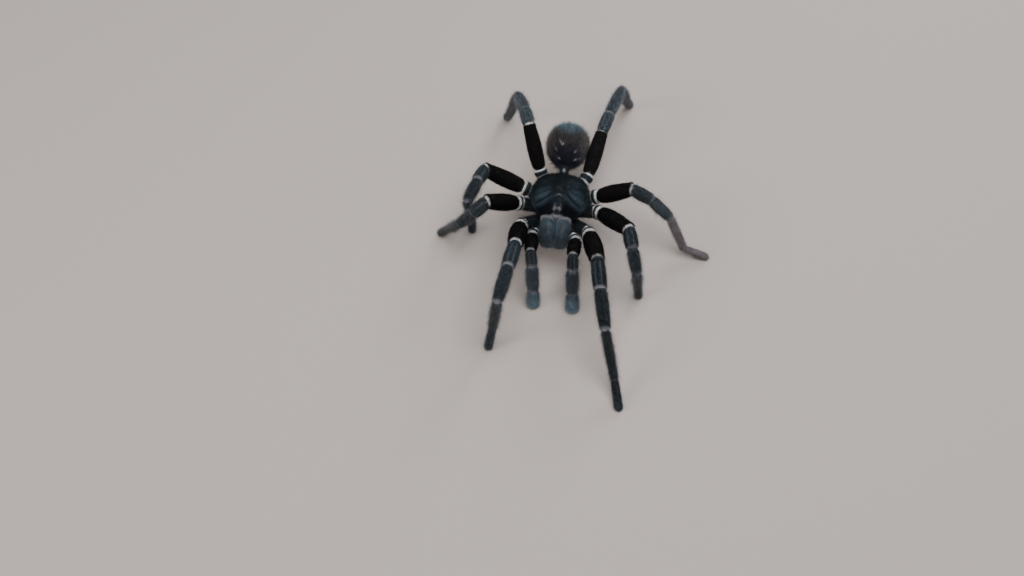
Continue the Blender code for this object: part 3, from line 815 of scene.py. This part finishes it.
def make_abdomen():
    rows, columns = 90, 120
    flecks = unit(np.array(FLECKS))

    def direction(r, c):
        polar = np.pi * (0.012 + 0.976 * r / (rows - 1))
        turn = math.tau * c / columns
        ring = np.sin(polar)
        return np.stack([ring * np.cos(turn), -np.cos(polar), ring * np.sin(turn)], -1)

    def paint(r, c):
        d = direction(r, c)
        rear = ramp(0.0, 0.75, d[..., 1] + 0.35 * d[..., 2] - 0.35 * np.abs(d[..., 0]))
        nearest = np.min(1 - d @ flecks.T, axis=-1)
        return layered(
            mix(DUST * 0.34, NAVY * 4.0, ramp(0.35, 0.8, -d[..., 1])),
            (SKY_SLATE * 2.4, rear * ramp(-0.1, 0.45, d[..., 2])),
            (DUST * 0.85, 0.8 * ramp(0.5, 0.95, np.abs(d[..., 0]))),
            (PALE * 0.8, 0.95 * bell(nearest / 0.0014)),
        )

    r, c = grid(rows, columns)
    d = direction(r, c)
    points = egg(d) - d * ABDOMEN_COAT
    wave = np.sin(d[..., 1] * 21 + 2 * np.sin(d[..., 0] * 5))
    wave = wave * np.sin(math.tau * c / columns * 9 + d[..., 1] * 4)
    points = points + d * (0.07 * MM * wave * np.sin(np.pi * r / rows))[..., None]
    return Surface(in_body(points), paint)


def coat_of_abdomen(skin, rng):
    """A dense short pile with long bristles, longest at the sides and behind."""
    pile = grow(skin, rng, 15000, None, 1.25, 0.16, 24, (0.7, 1.3), yaw=16)
    rear = 0.5 + skin.cells()[0] / skin.shape[0]
    fade = (DUST * 0.6, 0.35)
    long = grow(skin, rng, 9000, rear, (1.6, 3.2), 0.075, (26, 52), (0.9, 1.3), fade, yaw=18, bend=-14)
    return [pile, long]


def make_spinneret(start, along, length, radius):
    """A spinneret in three joints, tapering, in the body's frame."""
    along = unit(along)
    side = unit(np.cross(along, UP))
    up = np.cross(side, along)
    place = np.linspace(0, 1, SPINNERET_ROWS)
    stations = (0, 0.15, 0.33, 0.38, 0.5, 0.66, 0.71, 0.85, 0.96, 1)
    width = curve(stations, (0.9, 1.0, 0.95, 0.88, 0.92, 0.84, 0.76, 0.72, 0.52, 0.28), place)
    middle = start + along * (length * place)[:, None]

    def paint(r, c):
        down = r / SPINNERET_ROWS
        return mix(BROWN, DUST, 0.5 * bell((down - 0.36) / 0.02) + 0.5 * bell((down - 0.69) / 0.02))

    return Surface(in_body(tube(middle, side, up, radius * width, 24)), paint)


def coat_of_underside(skins, rng):
    """Short hairs on the sternum, the pedicel and the spinnerets."""
    coats = []
    for i, skin in enumerate(skins):
        skin.share = (i, len(skins))
        trunk = skin.shape[0] > 50
        count = int((12 if trunk else 22) * skin.area.sum() / MM**2)
        length = 0.8 if trunk else 0.7
        coats.append(grow(skin, rng, count, None, length, 0.1, 24, (0.8, 1.6), yaw=15))
    return coats


def make_spinnerets():
    mirrors = [np.array((sign, 1, 1)) for sign in SIDES.values()]
    return [
        make_spinneret(start * mirror * MM, along * mirror, length * MM, radius * MM)
        for mirror in mirrors for start, along, length, radius in SPINNERETS
    ]


def squared(value, power):
    """A cosine or sine whose circle bulges to its corners, for a power under 1."""
    return np.copysign(np.abs(value) ** power, value)


def make_trunk(stations, columns, colour, stripe=None):
    """A body part laid along Y. stripe is the y of a short pale line along its upper side."""
    stations = np.array(stations) * MM
    y = np.linspace(stations[0, 0], stations[-1, 0], 60)
    z, half_x, half_z = curve(stations[:, 0], stations[:, 1:], y).T[:, :, None]
    angles = angles_round(columns)
    x = half_x * squared(np.cos(angles), TRUNK_SQUARENESS)
    z = z + half_z * squared(np.sin(angles), TRUNK_SQUARENESS)
    points = np.stack([x, np.broadcast_to(y[:, None], x.shape), z], -1)

    def striped(r, c):
        along = np.interp(r, np.arange(len(y)), y) / MM
        line = bell((along - stripe) / 0.7) * bell(dorsal_distance(c / columns) / 0.035)
        return mix(colour, GREY * 2.2, line)

    return Surface(in_body(points), striped if stripe else plain(colour))


# ---- Carapace and eyes ----
CARAPACE_COAT = 0.2 * MM
CARAPACE_COLUMNS = 168
TOP_ROWS = 64


def plate_scale(x, y):
    """How far out a place of the carapace lies, from 0 at its middle to 1 at the rim."""
    scale = np.full_like(x, 0.5)
    for _ in range(8):
        scale = superellipse(x / front_taper(y / np.maximum(scale, 1e-3)), y)
    return scale


def front_arch(x, y):
    """How far the front edge, and the plate behind it, is arched up over the chelicerae."""
    return FRONT_ARCH * bell(x / (FRONT_ARCH_WIDTH / 2)) * ramp(0.35, 1.0, -y / CARAPACE_FRONT)


def groove_depth(x, y, scale):
    """The fovea, the two grooves that part the caput from the thorax, and the radial grooves."""
    forward, right = FOVEA_CENTRE - y, np.abs(x)
    reach = np.hypot(forward, right)
    bearing = np.degrees(np.arctan2(right, forward))
    bow = 0.35 * MM * (x / (1.7 * MM)) ** 2
    depth = 0.75 * MM * bell(x / (1.6 * MM)) * bell((y - FOVEA_CENTRE + bow) / (0.45 * MM))
    fade = ramp(1.2 * MM, 2.8 * MM, reach) * (1 - ramp(0.8, 0.97, scale))
    # Each groove: its bearing from straight ahead, its depth and its width
    grooves = ((34 + 3.0 * reach / MM, 0.42, 0.75), (80, 0.2, 0.7), (110, 0.2, 0.7), (142, 0.2, 0.7))
    for angle, deep, wide in grooves:
        off = reach * np.radians(bearing - angle)
        depth = depth + deep * MM * bell(off / (wide * MM)) * fade
    return depth


def dome_height(x, y, scale):
    """Height of the plate over its rim: the thorax's dome, the raised caput and the front's arch."""
    dome = THORAX_RISE * (1 - scale**2.4)
    caput = bell(x / (CAPUT_WIDTH / 2)) * bell((y - CAPUT_CENTRE) / (CAPUT_LENGTH / 2))
    return dome + caput * CAPUT_RISE * (1 - scale**6) + front_arch(x, y)


def carapace_top(x, y):
    scale = plate_scale(x, y)
    rim = 0.16 * MM * bell((scale - 0.965) / 0.018)
    return dome_height(x, y, scale) + rim - groove_depth(x, y, scale) - CARAPACE_COAT


def make_carapace():
    """Rows of rings from the fovea out to the rim, then round under it."""
    rim_x, rim_y = carapace_outline(angles_round(CARAPACE_COLUMNS), 0.98)
    rows = []
    for reach in 0.012 + 0.988 * np.linspace(0, 1, TOP_ROWS) ** 0.85:
        x, y = rim_x * reach, rim_y * reach + FOVEA_CENTRE * (1 - reach)
        rows.append(np.stack([x, y, carapace_top(x, y)], -1))
    for reach, level in ((0.995, -0.25), (0.98, -0.42), (0.92, -0.46), (0.5, -0.4), (0.05, -0.4)):
        x, y = rim_x * reach, rim_y * reach
        rows.append(np.stack([x, y, level * MM + front_arch(x, y)], -1))
    flat = np.stack(rows)

    def paint(r, c):
        x, y, _ = skin.read(flat, r, c).T
        scale = plate_scale(x, y)
        bearing = np.arctan2(np.abs(x), FOVEA_CENTRE - y)
        rays = 0.5 + 0.5 * np.cos(bearing * 12 + 0.6)
        across, back = np.abs(x) / MM, y / MM
        # painted reflection: lighter patches on the flanks and behind, where the satin plate reflects the
        # sky
        flank = bell((across - 5.3) / 2.8) * bell((back + 2.6) / 3.7)
        rear_sheen = bell((across - 4.6) / 2.0) * bell((back - 5.0) / 1.9)
        ridge = bell(across / 1.3) * ramp(3.8, 5.0, -back)
        tufts = bell((across - 0.95) / 0.35) * bell((back + 7.9) / 1.0)
        chevron = bell((back + 3.0 + 0.55 * across) / 0.28) * bell(across / 0.95)
        grooves = np.clip(groove_depth(x, y, scale) / (0.4 * MM), 0, 1)
        front = (1 - ramp(4.4, 5.8, across)) * ramp(9.5, 9.8, -back - 0.02 * across**2)
        return layered(
            mix(TEAL * 0.9, TEAL * 1.5, rays * ramp(0.2, 0.6, scale)),
            # painted reflection on the flanks and behind
            (SKY_SLATE * 1.35, np.clip(1.2 * flank, 0, 1)),
            (SLATE_BLUE, 0.7 * rear_sheen),
            # painted shade: the front of the plate darkens towards the eyes and chelicerae
            (NAVY, 0.92 * ramp(4.2, 7.2, -back)),
            (SLATE * 0.9, 0.8 * ridge),
            (LILAC * 0.6, 0.8 * tufts),
            (GREY * 1.3, 0.9 * chevron),
            # painted shade in the fovea and the grooves
            (NAVY, 0.8 * grooves),
            (LILAC * 0.7, front),
            (BROWN, ramp(TOP_ROWS + 0.5, TOP_ROWS + 1.5, r)),
        )

    skin = Surface(in_body(flat), paint)
    return skin


def coat_of_carapace(skin, rng):
    """A felt of short hairs that radiate from the fovea, a fringe round the rim, the pale clypeus
    and the dark fluff under the plate."""
    cell_r, cell_c = skin.cells()
    felt = grow(skin, rng, 21000, cell_r < TOP_ROWS - 3, 0.85, 0.1, 9, (0.9, 1.5), yaw=12)
    rim = (cell_r > TOP_ROWS - 5) & (cell_r < TOP_ROWS)
    fringe = grow(
        skin, rng, 3600, rim, (0.7, 1.5), 0.07, 18, (0.6, 1.0), yaw=20, bend=8,
        paint=lambda r, c: mix(skin.paint(r, c), DUST, 0.04),
    )
    front = np.sin(math.tau * cell_c / CARAPACE_COLUMNS) < -0.8
    front = front & (cell_r > TOP_ROWS - 6) & (cell_r < TOP_ROWS)
    clypeus = grow(
        skin, rng, 5000, front, 0.9, 0.09, 40, (0.9, 1.5), yaw=12, bend=-20, paint=plain(LILAC * 0.7)
    )
    below = grow(skin, rng, 6000, cell_r > TOP_ROWS + 1, 0.9, 0.1, 30, (0.8, 1.6), yaw=30)
    return [felt, fringe, clypeus, below]


def tubercle_centre():
    return np.array((0, TUBERCLE_CENTRE, dome_height(0, TUBERCLE_CENTRE, -TUBERCLE_CENTRE / CARAPACE_FRONT)))


def eye_spots():
    """Each eye's middle in the body's frame, with its diameter."""
    half, centre = TUBERCLE_SIZE / 2, tubercle_centre()
    spots = []
    for sign in SIDES.values():
        for x, y, diameter in EYES.values():
            x, y = x * MM, y * MM
            rise = half[2] * math.sqrt(1 - (x / half[0]) ** 2 - (y / half[1]) ** 2)
            spot = centre + np.array((sign * x, 0, rise)) * 0.94
            spot[1] = centre[1] + y
            spots.append((spot, diameter * MM))
    return spots


def dome_directions(rows, columns, reach=0.97):
    """Unit directions of a ball from its top down, as rows of rings."""
    polar = np.pi * (0.01 + reach * np.arange(rows) / (rows - 1))
    turn = angles_round(columns)
    ring = np.stack([np.cos(turn), np.sin(turn), np.zeros(columns)], -1)
    return np.sin(polar)[:, None, None] * ring + np.cos(polar)[:, None, None] * np.array((0, 0, 1))


def make_tubercle():
    """The low mound of the eyes, with a raised lid round each."""
    points = tubercle_centre() + dome_directions(70, 110) * (TUBERCLE_SIZE / 2 - 0.05 * MM)
    outward = unit(points - tubercle_centre())
    for spot, diameter in eye_spots():
        off = np.linalg.norm(points - spot, axis=-1)
        lid = 0.075 * MM * bell((off - 0.56 * diameter) / (0.09 * MM))
        points = points + outward * lid[..., None]
    skin = Surface(in_body(points), None)

    def paint(r, c):
        place = skin.read(skin.points, r, c)
        pale = np.zeros(len(r))
        for spot, diameter in eye_spots():
            off = np.linalg.norm(place - in_body(spot), axis=-1)
            pale = np.maximum(pale, bell((off - 0.6 * diameter) / (0.08 * MM)))
        flat = skin.read(points, r, c)
        side = bell((np.abs(flat[:, 0]) / MM - 0.95) / 0.38)
        return layered(NAVY, (LILAC * 0.75, 0.85 * side), (GREY, 0.55 * pale))

    skin.paint = paint
    return skin


def make_eyes():
    directions = dome_directions(18, 28, 0.98)
    return [
        Surface(in_body(spot + directions * diameter / 2), plain(BLACK)) for spot, diameter in eye_spots()
    ]


def coat_of_tubercle(skin, rng):
    rows = skin.shape[0]
    cell_r, _ = skin.cells()
    r, c = skin.scatter(500, rng, (cell_r > 8) & (cell_r < rows * 0.55))
    middle = skin.read(skin.points, r, c)
    for spot, diameter in eye_spots():
        clear = np.linalg.norm(middle - in_body(spot), axis=1) > diameter * 0.62
        r, c, middle = r[clear], c[clear], middle[clear]
    colour = skin.paint(r, c)
    return [hairs(skin, r, c, rng, 0.5, 0.05, 35, colour, mix(colour, GREY, 0.4), yaw=25)]


# ---- Chelicerae and fangs ----
CHELICERA_COAT = 0.18 * MM
# Along its curve: y and height in millimetres, part of the full width, and half height
CHELICERA_SECTIONS = np.array((
    (-8.6, -1.2, 0.8, 1.2), (-9.4, -0.6, 0.92, 1.7), (-10.2, 0.0, 0.99, 2.2),
    (-11.4, 0.2, 1.0, 2.65), (-12.9, -0.2, 1.0, 2.95), (-14.5, -1.4, 1.0, 3.0),
    (-15.6, -2.9, 0.98, 2.6), (-16.3, -4.3, 0.92, 1.8), (-16.6, -5.3, 0.78, 1.0),
))
CHELICERA_SQUARENESS = 0.62


def make_chelicera(sign):
    """The thick basal joint: it comes from under the plate's front edge and curves down."""
    rows, columns = 90, 64
    count = len(CHELICERA_SECTIONS)
    steps = np.linspace(0, count - 1, rows)
    y, z, width, half_height = curve(np.arange(count), CHELICERA_SECTIONS, steps).T
    middle = np.stack([np.zeros(rows), y, z], -1) * MM
    along = unit(np.gradient(middle, axis=0))
    upward = -np.cross(ACROSS, along)
    angles = angles_round(columns)
    half_width = (CHELICERA_WIDTH / 2 * width - CHELICERA_COAT)[:, None]
    x = half_width * (sign + squared(np.cos(angles), CHELICERA_SQUARENESS)) + sign * CHELICERA_INNER
    rise = (half_height * MM - CHELICERA_COAT)[:, None] * np.sin(angles)
    points = middle[:, None] + ACROSS * x[..., None] + upward[:, None] * rise[..., None]

    def paint(r, c):
        turn = c / columns
        off_top = (turn - 0.25 + 0.5) % 1 - 0.5
        down = r / rows
        x, y, _ = skin.read(points, r, c).T / MM
        stripes = 0.3 * bell((off_top - 0.01) / 0.02) + 0.3 * bell((np.abs(off_top) - 0.13) / 0.025)
        stripes = stripes * ramp(0.25, 0.4, down) * (1 - ramp(0.62, 0.8, down))
        return layered(
            # painted light: lighter near the inner faces, lifting the shade in the seam between the two
            # chelicerae
            SLATE * 2.9 * (1 + 0.9 * bell((np.abs(x) - 0.2) / 0.9))[:, None],
            (DUST * 0.6, stripes),
            (RUST * 0.5, ramp(0.3, 0.5, np.abs(off_top)) * ramp(0.55, 0.8, down)),
            (LILAC * 0.8, 0.9 * ramp(-11.5, -11.2, y)),
        )

    skin = Surface(in_body(points), paint)
    return skin


def coat_of_chelicera(skin, rng):
    """Short hairs lying down the front, and a rusty fringe over the fang."""
    cell_r, cell_c = skin.cells()
    rows, columns = skin.shape
    down = grow(skin, rng, 7000, cell_r > rows * 0.12, 0.85, 0.1, 15, (0.8, 1.5), yaw=10)
    bristles = grow(
        skin, rng, 500, cell_r > rows * 0.3, (1.2, 2.4), 0.06, 42, (1, 1), (GREY, 0.6), bend=-16
    )
    low = (dorsal_distance(cell_c / columns) > 0.3) & (cell_r > rows * 0.62)
    beard = grow(skin, rng, 900, low, 1.5, 0.08, 50, (0.7, 1.3), paint=plain(RUST), yaw=20, bend=-20)
    return [down, bristles, beard]


FANG_OFFSET = 2.5 * MM
FANG_ARC_CENTRE = np.array((0, -11.5, -4.5)) * MM
FANG_ARC_RADIUS = 4.4 * MM


def make_fang(sign):
    """A smooth curved claw folded back under its chelicera, with its dark base."""
    place = np.linspace(0, 1, 40)
    turn = np.radians(215 + 62 * place)
    outward = np.stack([np.zeros(40), np.cos(turn), np.sin(turn)], -1)
    radius = curve((0, 0.12, 0.4, 0.7, 0.93, 1), (0.76, 0.74, 0.56, 0.38, 0.2, 0.05), place) * MM
    middle = FANG_ARC_CENTRE + outward * FANG_ARC_RADIUS
    points = tube(middle, ACROSS, outward[:, None], radius, 24)
    points[..., 0] += sign * FANG_OFFSET
    return Surface(in_body(points), lambda r, c: mix(RUST * 0.5, BLACK, ramp(4, 16, r)))


# ---- Materials ----
def set_inputs(node, values):
    for name, value in values.items():
        node.inputs[name].default_value = value


def new_material(name, values):
    """A material with a node tree, and these values on its main shader."""
    material = bpy.data.materials.new(name)
    material.use_nodes = True
    set_inputs(material.node_tree.nodes["Principled BSDF"], values)
    return material


# Roughness, size of grain and depth of relief in millimetres, sheen, clear coat and specular level
FINISHES = {
    "skin": (0.7, 0.5, 0.04, 0, 0, 0.2),
    "shell": (0.42, 0.35, 0.02, 0, 0, 0.4),
    "coat": (0.5, 2.0, 0, 0.12, 0, 0.4),
    "velvet": (0.75, 2.0, 0, 0, 0, 0.12),
    "pile": (0.7, 2.0, 0, 0, 0, 0.15),
    "eye": (0.05, 0.3, 0, 0, 1.0, 0.5),
    "horn": (0.18, 0.6, 0.01, 0, 0.5, 0.5),
}


def tinted_material(name, roughness, grain, relief, sheen, clear_coat, specular):
    """The colours of a piece's own tint, uneven, with a fine relief."""
    material = new_material(name, {
        "Sheen Weight": sheen, "Sheen Roughness": 0.4, "Sheen Tint": (0.55, 0.72, 0.85, 1),
        "Coat Weight": clear_coat, "Coat Roughness": 0.08, "Specular IOR Level": specular,
    })
    nodes, links = material.node_tree.nodes, material.node_tree.links

    def node(kind, values):
        made = nodes.new(f"ShaderNode{kind}")
        set_inputs(made, values)
        return made

    shader = nodes["Principled BSDF"]
    tint, coords = node("Attribute", {}), node("TexCoord", {})
    tint.attribute_name = "tint"
    noise = node("TexNoise", {"Scale": 1 / (grain * MM), "Detail": 4})
    value = node("MapRange", {"From Min": 0.3, "From Max": 0.7, "To Min": 0.75, "To Max": 1.25})
    uneven = node("VectorMath", {})
    uneven.operation = "SCALE"
    gloss = node("MapRange", {"To Min": roughness * 0.85, "To Max": min(roughness * 1.15, 1)})
    wires = [
        (coords, "Object", noise, "Vector"),
        (noise, "Fac", value, "Value"),
        (tint, "Color", uneven, 0),
        (value, "Result", uneven, "Scale"),
        (uneven, "Vector", shader, "Base Color"),
        (noise, "Fac", gloss, "Value"),
        (gloss, "Result", shader, "Roughness"),
    ]
    if relief:
        bump = node("Bump", {"Strength": 0.6, "Distance": relief * MM})
        wires += [(noise, "Fac", bump, "Height"), (bump, "Normal", shader, "Normal")]
    for source, output, target, socket in wires:
        links.new(source.outputs[output], target.inputs[socket])
    return material


# ---- Stage ----
VIEW_AZIMUTH = math.radians(8.6)
VIEW_ELEVATION = math.radians(58.2)
VIEW_DISTANCE = 0.344
VIEW_LENS = 35.16
# How far right of the picture's middle, and above it, the carapace stands
FRAMING = (0.0158, 0.0221)


def make_camera():
    a, e = VIEW_AZIMUTH, VIEW_ELEVATION
    back = Vector((math.sin(a) * math.cos(e), -math.cos(a) * math.cos(e), math.sin(e)))
    right = Vector((math.cos(a), math.sin(a), 0))
    up = back.cross(right)
    data = bpy.data.cameras.new("view")
    data.sensor_width = 36
    data.lens = VIEW_LENS
    data.clip_start = 0.01
    camera = add_object("view", data)
    spot = Vector((PLACE[0], PLACE[1], 0)) - right * FRAMING[0] - up * FRAMING[1] + back * VIEW_DISTANCE
    camera.matrix_world = Matrix.Translation(spot) @ Matrix((right, up, back)).transposed().to_4x4()
    bpy.context.scene.camera = camera


def make_light(name, place, aim, size, power, colour):
    data = bpy.data.lights.new(name, "AREA")
    data.shape = "DISK"
    data.size = size
    data.energy = power
    data.color = colour
    light = add_object(name, data)
    light.location = place
    light.rotation_euler = (Vector(aim) - Vector(place)).to_track_quat("-Z", "Y").to_euler()


def make_stage():
    bpy.ops.mesh.primitive_plane_add(size=6)
    floor = bpy.context.object
    floor.name = "floor"
    paper = new_material("floor", {"Base Color": (0.56, 0.47, 0.42, 1), "Roughness": 0.9})
    floor.data.materials.append(paper)
    make_light("sky", (0.1, -0.05, 0.7), (0, 0, 0), 0.6, 4.2, (0.93, 0.97, 1.0))
    make_light("window", (-0.55, -0.35, 0.4), (0, 0, 0.01), 0.3, 1.6, (1.0, 0.97, 0.93))
    make_light("rear", (0.25, 0.6, 0.35), (0, 0, 0.01), 0.3, 2.0, (0.9, 0.95, 1.0))
    world = bpy.data.worlds.new("studio")
    world.use_nodes = True
    background = {"Color": (0.8, 0.87, 0.95, 1), "Strength": 0.35}
    set_inputs(world.node_tree.nodes["Background"], background)
    bpy.context.scene.world = world


# ---- The model ----
def add_piece(name, parts, finish, replaced=()):
    obj = build_mesh(name, parts)
    obj.data.materials.append(finish)
    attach(obj, "root")
    if replaced:
        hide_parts(*replaced)


def main():
    make_camera()
    make_stage()
    rng = np.random.default_rng(8)
    finish = {name: tinted_material(name, *values) for name, values in FINISHES.items()}

    limbs = [Limb(side, limb) for side, limb in STANCES]
    abdomen, carapace, tubercle = make_abdomen(), make_carapace(), make_tubercle()
    sternum = make_trunk(STERNUM, 48, BROWN)
    pedicel = make_trunk(PEDICEL, 40, DEEP_SLATE * 0.4, PEDICEL_STRIPE)
    trunk = [sternum, pedicel, *make_spinnerets()]
    chelicerae = {side: make_chelicera(sign) for side, sign in SIDES.items()}
    flesh = ["sternum", "pedicel", "abdomen", "left_spinneret", "right_spinneret"]
    flesh += [f"{limb.name}_{piece}" for limb in limbs for piece in ("coxa", "femur", "tibia", "foot")]
    eye_nodes = [f"eye_{side}_{place}" for side in SIDES for place in EYES]
    # Each shell: its skins, its finish, its slot and the nodes it stands for
    shells = {
        "skin": ([limb.skin for limb in limbs] + [abdomen, *trunk], "skin", "leg_hair", flesh),
        "claws": (make_claws(limbs), "horn", "fang", ()),
        "carapace_plate": ([carapace], "shell", "carapace", ["carapace"]),
        "eye_mound": ([tubercle], "shell", "carapace", ["ocular_tubercle"]),
        "eyes": (make_eyes(), "eye", "eye", eye_nodes),
    }
    for side, skin in chelicerae.items():
        shells[f"{side}_chelicera_shell"] = ([skin], "shell", "carapace", [f"{side}_chelicera"])
        shells[f"{side}_fang_shell"] = ([make_fang(SIDES[side])], "horn", "fang", [f"{side}_fang"])
    for name, (skins, kind, slot, nodes) in shells.items():
        add_piece(name, [skin.mesh_arrays() for skin in skins], finish[kind], nodes)

    for limb in limbs:
        velvet, rest = coat_of_limb(limb, rng)
        add_piece(f"velvet_{limb.name}", velvet, finish["velvet"])
        add_piece(f"coat_{limb.name}", rest, finish["coat"])
    add_piece("coat_abdomen", coat_of_abdomen(abdomen, rng), finish["pile"])
    add_piece("coat_underside", coat_of_underside(trunk, rng), finish["coat"])
    add_piece("coat_carapace", coat_of_carapace(carapace, rng), finish["pile"])
    add_piece("coat_eye_mound", coat_of_tubercle(tubercle, rng), finish["pile"])
    for side, skin in chelicerae.items():
        add_piece(f"coat_{side}_chelicera", coat_of_chelicera(skin, rng), finish["coat"])


main()
